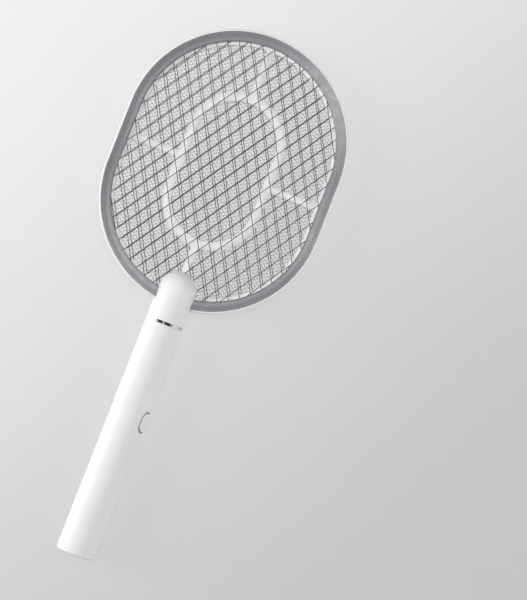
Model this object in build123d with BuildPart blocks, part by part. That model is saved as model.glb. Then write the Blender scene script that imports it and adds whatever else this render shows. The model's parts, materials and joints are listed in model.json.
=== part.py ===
from build123d import *
from math import cos, radians, sin
import os

# Electric fly swatter, lying on its back. Millimetres.
# +Y runs from the handle's base to the top of the head and +Z is the front of the head. The
# origin is under the middle of the whole swatter, on the surface that it lies on.

# Driving dimensions
head_end_radius = 109.0  # outside radius of each half-round end of the head
head_straight_half = 30.5  # half the length of the head's straight sides
head_thickness = 16.0
handle_radius = 19.0
handle_length = 288.5  # from the base to the tip of the dome
base_to_head_centre = 392.0

# Places that follow from them
overall_length = base_to_head_centre + head_straight_half + head_end_radius
y_base = -overall_length / 2
y_head = y_base + base_to_head_centre
y_dome_tip = y_base + handle_length
y_dome_centre = y_dome_tip - handle_radius
y_rim_foot = y_head - head_straight_half - head_end_radius
z_axis = handle_radius

# Head section: heights are measured from the middle plane of the head
rim_half = head_thickness / 2
rim_wall = 2.0
rim_round = 1.6
well_radius = head_end_radius - rim_wall
bezel_outer_radius = well_radius - 0.1
bezel_low = 5.5
bezel_inner_height = 6.0
bezel_outer_height = 7.7
bezel_rim_land = 0.4  # flat land round the bezel's outer edge
mouth_radius = bezel_outer_radius - 9.6
ledge_radius = 97.0
ledge_low = 3.0
ledge_high = 4.5
root_radius = 100.5
carrier_outer_radius = 100.3
carrier_inner_radius = 94.3  # shows as a narrow white border inside the bezel
carrier_low = 0.6
carrier_high = 2.9

# Nets: each angle is between a wire and the head's long axis, and leans left if positive
guard_angles = (-33.3, 28.9)
guard_pitches = (10.46, 10.93)  # between neighbouring wires of the same lean
guard_wire = 0.8
guard_low = 4.6
guard_outer_radius = 99.0
guard_border = 1.6
guard_edge_cell = 1.5  # a cell whose middle is nearer to the border than this stays closed
guard_front_crossing = (9.0, 3.1)  # where two wires cross, from the head's centre
guard_rear_crossing = (4.0, -4.6)
electrode_pitch = 3.18
electrode_half_angle = 56.0
electrode_wire = 0.34
electrode_layer_gap = 0.02
electrode_radius = 99.8

# Spacer ribs
rib_ring_radius = 48.5
rib_ring_width = 8.6
rib_thickness = 2.0
spoke_width = 6.4
spoke_root_width = 9.5
spoke_root_length = 16.0

# Rim screws
rim_screw_radius = 103.6
rim_screw_angles = (20, 70)
rim_screw_shank = 0.95
rim_screw_head = 1.9
rim_screw_head_height = 0.9
rim_screw_reach = 2.5
rim_hole_front = 1.0
rim_hole_rear = 1.05
rim_pilot_depth = 3.0

# Tongue that carries the head in the handle
tongue_half_width = 10.5
tongue_length = 34.0
tongue_half_thickness = 5.0
tongue_screw_places = (11.0, 27.0)  # from the foot of the rim, towards the base
post_radius = 1.5
post_places = (-5.0, 8.0)
post_height = 7.0

# Contact tabs and the slots that they lie in
contact_x = 13.4
contact_width = 2.6
contact_thickness = 0.4
contact_gap = 0.1
contact_start = y_rim_foot - 8.0
net_contact_end = y_head - head_straight_half - electrode_radius + 0.6
guard_contact_end = y_head - head_straight_half - guard_outer_radius + 0.6
guard_contact_middle = ledge_high + contact_gap + contact_thickness / 2

# Handle tube and end cap
handle_wall = 2.2
bore_radius = handle_radius - handle_wall
cap_thickness = 3.0
cap_chamfer = 0.8
cap_spigot_length = 6.0
cap_spigot_outer = bore_radius - 0.1
cap_spigot_inner = 14.2
head_slot_gap = 0.15

# Handle screws
screw_shank = 1.2
screw_hole = 1.25
screw_head = 2.5
screw_head_height = 1.8
screw_seat = -12.0  # height of the screw's seat from the handle's axis
screw_reach = 3.8
screw_boss = 3.6
screw_counterbore = 2.8
mid_screw_y = y_base + 88.0
mid_pilot_depth = 5.0
tongue_screw_ys = [y_rim_foot - place for place in tongue_screw_places]

# Indicator window: angles run round the handle from its front line
window_from_tip = 53.6
window_height = 2.9
window_start = -28.0
window_end = 67.0
window_gap = 0.05
window_recess = 0.1
y_window = y_dome_tip - window_from_tip

# Trigger
trigger_angle = 62.0
trigger_from_base = 139.5
trigger_length = 19.0
trigger_width = 11.6
trigger_proud = 1.2
trigger_travel = 1.5
trigger_gap = 0.3
trigger_flange = 1.0
trigger_flange_low = 13.0
trigger_flange_high = 14.0
trigger_stem_radius = 1.9
trigger_stem_end = 9.3
collar_wall = 1.1
collar_low = 15.5
collar_proud = 0.3
collar_gap = 0.05
plunger_radius = 1.1
plunger_end = 5.4
plunger_gap = 0.06
switch_top = 7.6
switch_side = 6.0
switch_low = 3.6
spring_width = 7.0
spring_thickness = 0.3
spring_hole = 2.4
spring_half_span = 8.4
spring_middle = 8.1
y_trigger = y_base + trigger_from_base

# Power switch, on the hidden side of the handle
power_angle = 225.0
power_knob_length = 6.0
power_knob_width = 4.0
power_travel = 4.0
power_gap = 0.3
power_proud = 0.5
power_body_low = 9.6
power_body_high = 13.3
power_body_length = 13.0
power_body_width = 6.6
power_slot_depth = 1.6
power_start = -power_travel / 2

# Boards, battery and socket
board_half_width = 13.0
board_thickness = 1.6
board_start = y_base + 92.0
board_end = board_start + 96.0
board_top = -2.2  # height of its upper face from the handle's axis
shelf_inner = 12.2  # ribs on the rear shell that the main board lies on
shelf_top = board_top - board_thickness - 0.02
shelf_thickness = 1.6
cell_radius = 9.2
cell_length = 65.0
cell_start = y_base + 17.5
cradle_wall = 1.4
cradle_gap = 0.1
tab_thickness = 0.3
tab_half_width = 6.0
lead_radius = 0.6
lead_gap = 0.02
socket_width = 8.9
socket_height = 3.2
socket_depth = 7.3
socket_recess = 0.6
socket_wall = 0.3
socket_gap = 0.15
charging_board_thickness = 1.2

# Lamps and their board behind the window
diffuser_x_range = (-7.0, 11.0)
diffuser_width = 2.8
diffuser_low = 9.8
lamp_board_x_range = (-9.0, 12.5)
lamp_board_width = 9.0
lamp_board_thickness = 1.0
lamp_xs = (-5.0, 2.0, 9.0)
lamp_length = 2.8
lamp_width = 2.0
lamp_height = 1.0

# Parts on the main board: x, distance from the board's start, and size along x, y and upwards
core_x = -1.0
core_y = 72.0
core_size = (15.0, 12.0, 11.0)
core_yoke = 4.0  # thickness of the core's two long sides
core_leg = 2.8  # thickness of its two ends
winding_gap = 0.2
winding_drop = 0.6  # how far the winding stays below the core's top and above the board
capacitor_place = (0.0, 88.0)
capacitor_size = (17.0, 7.0, 12.0)
capacitor_round = 1.2
diode_xs = (-9.5, -6.0, -2.5)
diode_start = 52.0
diode_length = 6.0
diode_radius = 1.3
resistor_x = 9.0
resistor_start = 54.0
resistor_length = 7.0
resistor_radius = 1.2
body_clearance = 0.1  # between a round part and the board below it
transistor_place = (-7.0, 20.0)
transistor_size = (4.6, 3.6, 4.8)
controller_place = (4.0, 12.0)
controller_size = (5.0, 4.0, 1.6)

# Stand under the trigger's switch
stand_step = (1.5, 2.0)
stand_foot = 1.0

# Cradle feet and the rounding of the battery's ends
cell_round = 0.6
cradle_overhang = 1.0
cradle_top = -3.0
cradle_foot_xs = (-5.0, 5.0)
cradle_foot_offsets = (8.0, -10.0)  # from the start and from the end of the cradle
cradle_foot_size = (2.0, 3.0)
cradle_foot_low = -15.6
cradle_foot_high = -9.0

# Socket's tongue and board
socket_back = 1.0
tongue_width = 6.6
tongue_thickness = 0.7
charging_board_width = 17.0
charging_board_start = cap_thickness + 0.6
charging_board_end = 14.5

# Leads: x is from the handle's axis, and the places along it are from the base
lead_bend = 2.0
net_lead_x = -10.5
front_guard_lead_x = 9.6
rear_guard_lead_x = 11.6
battery_lead_x = 5.2
battery_lead_height = 2.0
side_lead_x = 13.2


def head_plane(height):
    return Plane(origin=(0, y_head, z_axis + height))


def barrel_plane(angle, y, radius):
    """A plane square to one of the handle's radii: its x runs along the handle, its z outwards."""
    out = Vector(sin(radians(angle)), 0, cos(radians(angle)))
    return Plane(origin=Vector(0, y, z_axis) + out * radius, x_dir=(0, 1, 0), z_dir=out)


def stadium(radius, mode=Mode.ADD):
    SlotCenterToCenter(2 * head_straight_half, 2 * radius, rotation=90, mode=mode)


def stadium_block(radius, low, high, mode=Mode.ADD):
    with BuildSketch(head_plane(low)) as outline:
        stadium(radius)
    extrude(outline.sketch, amount=high - low, mode=mode)


def stadium_ring(outer, inner, low, high, mode=Mode.ADD):
    with BuildSketch(head_plane(low)) as outline:
        stadium(outer)
        stadium(inner, mode=Mode.SUBTRACT)
    extrude(outline.sketch, amount=high - low, mode=mode)


def stadium_funnel(low_radius, low, high_radius, high):
    """Takes away a stadium that widens from one height to the other."""
    with BuildSketch(head_plane(low)) as low_outline:
        stadium(low_radius)
    with BuildSketch(head_plane(high)) as high_outline:
        stadium(high_radius)
    loft([low_outline.sketch, high_outline.sketch], ruled=True, mode=Mode.SUBTRACT)


def rod(radius, x, y, low, high, mode=Mode.ADD):
    """A round rod along Z, between two heights from the handle's axis."""
    with BuildSketch(Plane(origin=(x, y, z_axis + low))) as outline:
        Circle(radius)
    extrude(outline.sketch, amount=high - low, mode=mode)


def block(x_range, y_range, z_range, mode=Mode.ADD):
    """A box between two x, two y and two heights from the handle's axis."""
    middle = (sum(x_range) / 2, sum(y_range) / 2, z_axis + z_range[0])
    with BuildSketch(Plane(origin=middle)) as outline:
        Rectangle(x_range[1] - x_range[0], y_range[1] - y_range[0])
    extrude(outline.sketch, amount=z_range[1] - z_range[0], mode=mode)


def barrel(radius, y_start, y_end, mode=Mode.ADD):
    """A cylinder on the handle's axis."""
    start = Plane(origin=(0, y_start, z_axis), x_dir=(1, 0, 0), z_dir=(0, 1, 0))
    with BuildSketch(start) as outline:
        Circle(radius)
    extrude(outline.sketch, amount=y_end - y_start, mode=mode)


def slot_post(plane, length, width, low, high, mode=Mode.ADD):
    """A round-ended post between two distances along the plane's normal."""
    with BuildSketch(plane.offset(low)) as outline:
        SlotOverall(length, width)
    extrude(outline.sketch, amount=high - low, mode=mode)


def pin(plane, radius, low, high, mode=Mode.ADD):
    with BuildSketch(plane.offset(low)) as outline:
        Circle(radius)
    extrude(outline.sketch, amount=high - low, mode=mode)


def plate(plane, length, width, low, high, mode=Mode.ADD):
    with BuildSketch(plane.offset(low)) as outline:
        Rectangle(length, width)
    extrude(outline.sketch, amount=high - low, mode=mode)


def lead(*points):
    """A round wire through the points, with its corners rounded."""
    places = [(x, y, z_axis + z) for x, y, z in points]
    with BuildLine() as route:
        FilletPolyline(*places, radius=lead_bend)
    with BuildSketch(Plane(origin=route.line @ 0, z_dir=route.line % 0)) as section:
        Circle(lead_radius)
    sweep(section.sketch, path=route.line)


# ---- head: the two halves of the rim, each with half of the tongue
def rim_screw_spots():
    spots = []
    for angle in rim_screw_angles:
        x = rim_screw_radius * cos(radians(angle))
        y = head_straight_half + rim_screw_radius * sin(radians(angle))
        spots += [(x, y), (-x, y), (x, -y), (-x, -y)]
    return spots


def contact_slot(x, middle):
    reach = contact_width / 2 + contact_gap
    rise = contact_thickness / 2 + contact_gap
    y_range = (contact_start, guard_contact_end + 1.0)
    block((x - reach, x + reach), y_range, (middle - rise, middle + rise), mode=Mode.SUBTRACT)


def rim_half_shell(screw_hole_radius, screw_hole_depth):
    stadium_ring(head_end_radius, well_radius, 0, rim_half)
    top = faces().sort_by(Axis.Z)[-1]
    fillet(top.outer_wire().edges(), radius=rim_round)
    stadium_ring(well_radius, root_radius, 0, ledge_high)
    stadium_ring(root_radius, ledge_radius, ledge_low, ledge_high)
    y_range = (y_rim_foot - tongue_length, y_rim_foot + rim_wall)
    block((-tongue_half_width, tongue_half_width), y_range, (0, tongue_half_thickness))
    with BuildSketch(head_plane(0)) as holes:
        with Locations(*rim_screw_spots()):
            Circle(screw_hole_radius)
    extrude(holes.sketch, amount=screw_hole_depth, mode=Mode.SUBTRACT)
    for y in tongue_screw_ys:
        rod(screw_hole, 0, y, 0, tongue_half_thickness, mode=Mode.SUBTRACT)
    contact_slot(-contact_x, 0)
    contact_slot(contact_x, guard_contact_middle)


middle_plane = Plane.XY.offset(z_axis)

with BuildPart() as head_frame_front:
    rim_half_shell(rim_hole_front, rim_pilot_depth)
    for x in post_places:
        rod(post_radius, x, y_window, tongue_half_thickness, post_height)

with BuildPart() as rear_rim:
    rim_half_shell(rim_hole_rear, ledge_high)

with BuildPart() as head_frame_rear:
    mirror(rear_rim.part, about=middle_plane)

with BuildPart() as rim_screws:
    for x, y in rim_screw_spots():
        rod(rim_screw_shank, x, y_head + y, -ledge_high, rim_screw_reach)
        rod(rim_screw_head, x, y_head + y, -ledge_high - rim_screw_head_height, -ledge_high)

# ---- head: sloping bezels that cover the edges of the guard nets
with BuildPart() as bezel_ring_front:
    stadium_ring(bezel_outer_radius, mouth_radius, bezel_low, bezel_outer_height)
    slope_outer = bezel_outer_radius - bezel_rim_land
    stadium_funnel(mouth_radius, bezel_inner_height, slope_outer, bezel_outer_height)

with BuildPart() as bezel_ring_rear:
    mirror(bezel_ring_front.part, about=middle_plane)


# ---- head: guard nets, each one welded piece
def cell_sides():
    """Two neighbouring sides of one cell, from wire middle to wire middle."""
    turn = sin(radians(guard_angles[1] - guard_angles[0]))
    along = [Vector(0, 1, 0).rotate(Axis.Z, angle) for angle in guard_angles]
    return along[0] * (guard_pitches[1] / turn), along[1] * (guard_pitches[0] / turn)


def cell_middles(crossing):
    side_one, side_two = cell_sides()
    reach = int(2 * head_end_radius / min(guard_pitches))
    middles = []
    for i in range(-reach, reach + 1):
        for j in range(-reach, reach + 1):
            middles.append(Vector(*crossing) + side_one * (i + 0.5) + side_two * (j + 0.5))
    return middles


def in_stadium(point, radius):
    beyond = max(0.0, abs(point.Y) - head_straight_half)
    return point.X**2 + beyond**2 < radius**2


def guard_openings(crossing):
    """The openings between the wires, cut off where the net's border begins."""
    border_radius = guard_outer_radius - guard_border
    middles = cell_middles(crossing)
    kept = [middle for middle in middles if in_stadium(middle, border_radius - guard_edge_cell)]
    side_one, side_two = cell_sides()
    half_one = side_one * ((1 - guard_wire / guard_pitches[1]) / 2)
    half_two = side_two * ((1 - guard_wire / guard_pitches[0]) / 2)
    corners = [half_one + half_two, half_two - half_one, -half_one - half_two, half_one - half_two]
    with BuildSketch() as openings:
        with Locations(*kept):
            Polygon(*[(corner.X, corner.Y) for corner in corners], align=None)
        stadium(border_radius, mode=Mode.INTERSECT)
    return openings.sketch


def guard_net(openings, low):
    with BuildSketch(head_plane(low)) as sheet:
        stadium(guard_outer_radius)
        add(openings, mode=Mode.SUBTRACT)
    extrude(sheet.sketch, amount=guard_wire)


front_openings = guard_openings(guard_front_crossing)
rear_openings = guard_openings(guard_rear_crossing)

with BuildPart() as guard_net_front:
    guard_net(front_openings, guard_low)

with BuildPart() as guard_net_rear:
    guard_net(rear_openings, -guard_low - guard_wire)


# ---- head: the fine net in the middle, two layers of crossing wires
def electrode_layer(low, turn):
    half_count = int((electrode_radius + head_straight_half) / electrode_pitch)
    offsets = [k * electrode_pitch for k in range(-half_count, half_count + 1)]
    places = [(offset * cos(radians(turn)), offset * sin(radians(turn))) for offset in offsets]
    with BuildSketch(head_plane(low)) as wires:
        with Locations(*places):
            Rectangle(electrode_wire, 4 * head_end_radius, rotation=turn)
        stadium(electrode_radius, mode=Mode.INTERSECT)
    extrude(wires.sketch, amount=electrode_wire)


with BuildPart() as high_voltage_net:
    electrode_layer(electrode_layer_gap / 2, electrode_half_angle)
    electrode_layer(-electrode_layer_gap / 2 - electrode_wire, -electrode_half_angle)


# ---- head: ribs that hold the nets apart
def spoke(turn, far):
    """One rib from the ring to the carrier, wider where it meets the carrier."""
    near = far - spoke_root_length
    half = spoke_width / 2
    root = spoke_root_width / 2
    outline = [(0, half), (near, half), (far, root), (far, -root), (near, -half), (0, -half)]
    corners = [Vector(*point).rotate(Axis.Z, turn) for point in outline]
    Polygon(*[(corner.X, corner.Y) for corner in corners], align=None)


with BuildPart() as spacer_rib_front:
    stadium_ring(carrier_outer_radius, carrier_inner_radius, carrier_low, carrier_high)
    with BuildSketch(head_plane(carrier_low)):
        for turn in (0, 180):
            spoke(turn, ledge_radius + 1)
        for turn in (90, 270):
            spoke(turn, ledge_radius + head_straight_half + 1)
        stadium(rib_ring_radius)
        stadium(rib_ring_radius - rib_ring_width, mode=Mode.SUBTRACT)
    extrude(amount=rib_thickness)

with BuildPart() as spacer_rib_rear:
    mirror(spacer_rib_front.part, about=middle_plane)


# ---- head: contact tabs that reach the nets from inside the handle
def contact_tab(x, middle, end):
    half = contact_thickness / 2
    x_range = (x - contact_width / 2, x + contact_width / 2)
    block(x_range, (contact_start, end), (middle - half, middle + half))


with BuildPart() as net_contact_tab:
    contact_tab(-contact_x, 0, net_contact_end)

with BuildPart() as guard_contact_front:
    contact_tab(contact_x, guard_contact_middle, guard_contact_end)

with BuildPart() as guard_contact_rear:
    contact_tab(contact_x, -guard_contact_middle, guard_contact_end)


# ---- handle: what the shells leave room for
with BuildPart() as head_envelope:
    outline_radius = head_end_radius + head_slot_gap
    edge = rim_half + head_slot_gap
    stadium_block(outline_radius, -edge, edge)
    stadium_funnel(mouth_radius, bezel_inner_height + head_slot_gap, well_radius, edge)
    stadium_block(mouth_radius, guard_low + guard_wire + head_slot_gap, edge, mode=Mode.SUBTRACT)
    rear_mouth = -guard_low - guard_wire - head_slot_gap
    stadium_block(mouth_radius, -edge, rear_mouth, mode=Mode.SUBTRACT)

window_middle = (window_start + window_end) / 2
window_spread = 2 * handle_radius * sin(radians(window_end - window_middle))
window_plane = barrel_plane(window_middle, y_window, 0)
trigger_plane = barrel_plane(trigger_angle, y_trigger, 0)
power_plane = barrel_plane(power_angle, y_trigger, 0)
collar_length = trigger_length + 2 * (trigger_gap + collar_wall)
collar_width = trigger_width + 2 * (trigger_gap + collar_wall)


def window_post(gap, low, mode=Mode.ADD):
    """The window's outline, square to the handle's axis, pushed out through the wall."""
    with BuildSketch(window_plane.offset(low)) as outline:
        SlotOverall(window_spread + 2 * gap, window_height + 2 * gap, rotation=90)
    extrude(outline.sketch, amount=handle_radius + 2, mode=mode)


def half_tube(turn):
    """Half of the tube and its dome, revolved half a turn about the handle's axis."""
    start = y_base + cap_thickness
    with BuildSketch(middle_plane) as section:
        with BuildLine():
            Line((bore_radius, start), (handle_radius, start))
            Line((handle_radius, start), (handle_radius, y_dome_centre))
            CenterArc((0, y_dome_centre), handle_radius, 0, 90)
            Line((0, y_dome_tip), (0, y_dome_tip - handle_wall))
            CenterArc((0, y_dome_centre), bore_radius, 0, 90)
            Line((bore_radius, y_dome_centre), (bore_radius, start))
        make_face()
    revolve(section.sketch, axis=Axis((0, 0, z_axis), (0, turn, 0)), revolution_arc=180)


with BuildPart() as handle_shell_front:
    half_tube(-1)
    rod(screw_boss, 0, mid_screw_y, 0, bore_radius + handle_wall / 2)
    rod(screw_hole, 0, mid_screw_y, 0, mid_pilot_depth, mode=Mode.SUBTRACT)
    add(head_envelope.part, mode=Mode.SUBTRACT)
    window_post(window_gap, 0, mode=Mode.SUBTRACT)
    slot_gap = 2 * collar_gap
    slot_post(
        trigger_plane,
        collar_length + slot_gap,
        collar_width + slot_gap,
        trigger_stem_end,
        handle_radius + 2,
        mode=Mode.SUBTRACT,
    )

with BuildPart() as handle_shell_rear:
    half_tube(1)
    boss_wall = -bore_radius - handle_wall / 2
    for y in tongue_screw_ys:
        rod(screw_boss, 0, y, boss_wall, -tongue_half_thickness)
    rod(screw_boss, 0, mid_screw_y, boss_wall, 0)
    for side in (-1, 1):
        x_range = sorted((side * shelf_inner, side * (bore_radius + 0.1)))
        y_range = (board_start + 4.0, board_end - 4.0)
        block(x_range, y_range, (shelf_top - shelf_thickness, shelf_top))
    add(head_envelope.part, mode=Mode.SUBTRACT)
    for y in tongue_screw_ys + [mid_screw_y]:
        rod(screw_hole, 0, y, -handle_radius, 0, mode=Mode.SUBTRACT)
        rod(screw_counterbore, 0, y, -handle_radius - 1, screw_seat, mode=Mode.SUBTRACT)
    knob_slot_length = power_knob_length + power_travel + 2 * power_gap
    knob_slot_width = power_knob_width + 2 * power_gap
    slot_post(
        power_plane,
        knob_slot_length,
        knob_slot_width,
        power_body_high,
        handle_radius + 2,
        mode=Mode.SUBTRACT,
    )

with BuildPart() as handle_screws:
    for y in tongue_screw_ys + [mid_screw_y]:
        rod(screw_shank, 0, y, screw_seat, screw_reach)
        rod(screw_head, 0, y, screw_seat - screw_head_height, screw_seat)

with BuildPart() as end_cap:
    barrel(handle_radius, y_base, y_base + cap_thickness)
    base_face = faces().sort_by(Axis.Y)[0]
    chamfer(base_face.edges(), length=cap_chamfer)
    spigot_end = y_base + cap_thickness + cap_spigot_length
    barrel(cap_spigot_outer, y_base + cap_thickness, spigot_end)
    barrel(cap_spigot_inner, y_base + cap_thickness, spigot_end, mode=Mode.SUBTRACT)
    with BuildSketch(Plane(origin=(0, y_base, z_axis), x_dir=(1, 0, 0), z_dir=(0, 1, 0))):
        SlotOverall(socket_width + 2 * socket_gap, socket_height + 2 * socket_gap)
    extrude(amount=cap_thickness, mode=Mode.SUBTRACT)

# ---- handle: indicator window, its diffuser and lamps
with BuildPart() as indicator_lens:
    window_post(0, 0)
    barrel(handle_radius - window_recess, y_window - 5, y_window + 5, mode=Mode.INTERSECT)
    barrel(bore_radius + 0.1, y_window - 5, y_window + 5, mode=Mode.SUBTRACT)

with BuildPart() as light_diffuser:
    y_range = (y_window - diffuser_width / 2, y_window + diffuser_width / 2)
    block(diffuser_x_range, y_range, (diffuser_low, bore_radius))
    barrel(bore_radius - 0.1, y_window - 5, y_window + 5, mode=Mode.INTERSECT)

with BuildPart() as indicator_board:
    y_range = (y_window - lamp_board_width / 2, y_window + lamp_board_width / 2)
    block(lamp_board_x_range, y_range, (post_height, post_height + lamp_board_thickness))

with BuildPart() as status_lamps:
    lamp_low = post_height + lamp_board_thickness
    y_range = (y_window - lamp_width / 2, y_window + lamp_width / 2)
    for x in lamp_xs:
        x_range = (x - lamp_length / 2, x + lamp_length / 2)
        block(x_range, y_range, (lamp_low, lamp_low + lamp_height))

# ---- handle: trigger
with BuildPart() as trigger_collar:
    slot_post(trigger_plane, collar_length, collar_width, collar_low, handle_radius + 2)
    inner_length = trigger_length + 2 * trigger_gap
    inner_width = trigger_width + 2 * trigger_gap
    slot_post(
        trigger_plane,
        inner_length,
        inner_width,
        collar_low,
        handle_radius + 2,
        mode=Mode.SUBTRACT,
    )
    barrel(
        handle_radius + collar_proud,
        y_trigger - collar_length,
        y_trigger + collar_length,
        mode=Mode.INTERSECT,
    )

with BuildPart() as trigger_button:
    slot_post(trigger_plane, trigger_length, trigger_width, trigger_flange_low, 2 * handle_radius)
    barrel(
        handle_radius + trigger_proud,
        y_trigger - trigger_length,
        y_trigger + trigger_length,
        mode=Mode.INTERSECT,
    )
    slot_post(
        trigger_plane,
        trigger_length + 2 * trigger_flange,
        trigger_width + 2 * trigger_flange,
        trigger_flange_low,
        trigger_flange_high,
    )
    pin(trigger_plane, trigger_stem_radius, trigger_stem_end, trigger_flange_low)

with BuildPart() as switch_plunger:
    pin(trigger_plane, plunger_radius, plunger_end, trigger_stem_end)

with BuildPart() as trigger_switch:
    plate(trigger_plane, switch_side, switch_side, switch_low, switch_top)
    plunger_well = plunger_end - trigger_travel - 0.1
    pin(
        trigger_plane,
        plunger_radius + plunger_gap,
        plunger_well,
        switch_top,
        mode=Mode.SUBTRACT,
    )

with BuildPart() as trigger_spring:
    with BuildSketch(Plane(trigger_plane.origin, x_dir=(0, 1, 0), z_dir=trigger_plane.y_dir * -1)):
        with BuildLine():
            ends = trigger_flange_low - 0.1
            far = (spring_half_span, ends)
            near = (-spring_half_span, ends)
            ThreePointArc(near, (0, spring_middle), far)
            Line(far, (spring_half_span, ends - spring_thickness))
            ThreePointArc(
                (spring_half_span, ends - spring_thickness),
                (0, spring_middle - spring_thickness),
                (-spring_half_span, ends - spring_thickness),
            )
            Line((-spring_half_span, ends - spring_thickness), near)
        make_face()
    extrude(amount=spring_width / 2, both=True)
    pin(trigger_plane, spring_hole, spring_middle - 2, trigger_flange_low, mode=Mode.SUBTRACT)

# ---- handle: power switch
power_knob_plane = barrel_plane(power_angle, y_trigger + power_start, 0)

with BuildPart() as power_knob:
    slot_post(
        power_knob_plane,
        power_knob_length,
        power_knob_width,
        power_body_high + power_gap,
        2 * handle_radius,
    )
    barrel(
        handle_radius + power_proud,
        y_trigger - power_knob_length,
        y_trigger + power_knob_length,
        mode=Mode.INTERSECT,
    )
    stem_low = power_body_high - power_slot_depth + 0.2
    plate(power_knob_plane, 2.0, 1.6, stem_low, power_body_high + power_gap)

with BuildPart() as power_switch:
    plate(power_plane, power_body_length, power_body_width, power_body_low, power_body_high)
    track_low = power_body_high - power_slot_depth
    plate(
        power_plane,
        2.0 + power_travel + 0.4,
        2.0,
        track_low,
        power_body_high,
        mode=Mode.SUBTRACT,
    )

# ---- handle: main board and what stands on it
with BuildPart() as main_board:
    y_range = (board_start, board_end)
    z_range = (board_top - board_thickness, board_top)
    block((-board_half_width, board_half_width), y_range, z_range)


def on_board(place, size):
    """A box on the main board; place is x and the distance from the board's start."""
    x, y = place[0], board_start + place[1]
    x_range = (x - size[0] / 2, x + size[0] / 2)
    y_range = (y - size[1] / 2, y + size[1] / 2)
    block(x_range, y_range, (board_top, board_top + size[2]))


def roll_on_board(x, start, length, radius):
    """A round part that lies along the handle on the main board."""
    middle = (x, board_start + start, z_axis + board_top + radius + body_clearance)
    with BuildSketch(Plane(origin=middle, z_dir=(0, 1, 0))) as outline:
        Circle(radius)
    extrude(outline.sketch, amount=length)


with BuildPart() as switch_stand:
    out = Vector(sin(radians(trigger_angle)), cos(radians(trigger_angle)))
    side = Vector(out.Y, -out.X)
    seat = out * switch_low
    upper = seat - side * (switch_side / 2)
    lower = seat + side * (switch_side / 2)
    stand_plane = Plane(
        origin=(0, y_trigger - switch_side / 2, z_axis),
        x_dir=(1, 0, 0),
        z_dir=(0, -1, 0),
    )
    with BuildSketch(stand_plane):
        corners = [
            (upper.X, upper.Y),
            (upper.X - stand_step[0], upper.Y - stand_step[1]),
            (upper.X - stand_step[0], board_top),
            (lower.X + stand_foot, board_top),
            (lower.X, lower.Y),
        ]
        Polygon(*corners, align=None)
    extrude(amount=-switch_side)

with BuildPart() as transformer_core:
    yoke_size = (core_size[0], core_yoke, core_size[2])
    leg_size = (core_leg, core_size[1], core_size[2])
    yoke_offset = (core_size[1] - core_yoke) / 2
    leg_offset = (core_size[0] - core_leg) / 2
    for side in (-1, 1):
        on_board((core_x, core_y + side * yoke_offset), yoke_size)
        on_board((core_x + side * leg_offset, core_y), leg_size)

with BuildPart() as transformer_winding:
    half_length = core_size[0] / 2 - core_leg - winding_gap
    half_depth = core_size[1] / 2 - core_yoke - winding_gap / 2
    x_range = (core_x - half_length, core_x + half_length)
    y_range = (board_start + core_y - half_depth, board_start + core_y + half_depth)
    z_range = (board_top + winding_drop, board_top + core_size[2] - winding_drop)
    block(x_range, y_range, z_range)

with BuildPart() as high_voltage_capacitor:
    on_board(capacitor_place, capacitor_size)
    top = faces().sort_by(Axis.Z)[-1]
    fillet(top.edges(), radius=capacitor_round)

with BuildPart() as rectifier_diodes:
    for x in diode_xs:
        roll_on_board(x, diode_start, diode_length, diode_radius)

with BuildPart() as bleed_resistor:
    roll_on_board(resistor_x, resistor_start, resistor_length, resistor_radius)

with BuildPart() as drive_transistor:
    on_board(transistor_place, transistor_size)

with BuildPart() as charge_controller:
    on_board(controller_place, controller_size)

# ---- handle: battery in its cradle
cell_end = cell_start + cell_length

with BuildPart() as battery_cell:
    barrel(cell_radius, cell_start, cell_end)
    fillet(edges().filter_by(GeomType.CIRCLE), radius=cell_round)

with BuildPart() as battery_cradle:
    cradle_outer = cell_radius + cradle_gap + cradle_wall
    cradle_start = cell_start - cradle_overhang
    cradle_end = cell_end + cradle_overhang
    barrel(cradle_outer, cradle_start, cradle_end)
    barrel(cell_radius + cradle_gap, cradle_start, cradle_end, mode=Mode.SUBTRACT)
    cut_x = (-handle_radius, handle_radius)
    block(cut_x, (cradle_start, cradle_end), (cradle_top, handle_radius), mode=Mode.SUBTRACT)
    half_foot = cradle_foot_size[0] / 2
    foot_starts = (cradle_start + cradle_foot_offsets[0], cradle_end + cradle_foot_offsets[1])
    for y in foot_starts:
        y_range = (y, y + cradle_foot_size[1])
        for x in cradle_foot_xs:
            block((x - half_foot, x + half_foot), y_range, (cradle_foot_low, cradle_foot_high))

with BuildPart() as battery_tabs:
    tab_range = (-tab_half_width, tab_half_width)
    for low in (cell_start - tab_thickness, cell_end):
        block(tab_range, (low, low + tab_thickness), tab_range)

# ---- handle: charging socket behind the end cap
socket_plane = Plane(origin=(0, y_base + socket_recess, z_axis), x_dir=(1, 0, 0), z_dir=(0, 1, 0))

with BuildPart() as charging_socket:
    with BuildSketch(socket_plane):
        SlotOverall(socket_width, socket_height)
    extrude(amount=socket_depth)
    with BuildSketch(socket_plane):
        SlotOverall(socket_width - 2 * socket_wall, socket_height - 2 * socket_wall)
    extrude(amount=socket_depth - socket_back, mode=Mode.SUBTRACT)

with BuildPart() as socket_tongue:
    tongue_start = y_base + socket_recess + socket_back
    tongue_end = y_base + socket_recess + socket_depth - socket_back
    x_range = (-tongue_width / 2, tongue_width / 2)
    z_range = (-tongue_thickness / 2, tongue_thickness / 2)
    block(x_range, (tongue_start, tongue_end), z_range)

charging_board_top = -socket_height / 2 - body_clearance

with BuildPart() as charging_board:
    x_range = (-charging_board_width / 2, charging_board_width / 2)
    y_range = (y_base + charging_board_start, y_base + charging_board_end)
    z_range = (charging_board_top - charging_board_thickness, charging_board_top)
    block(x_range, y_range, z_range)

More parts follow.
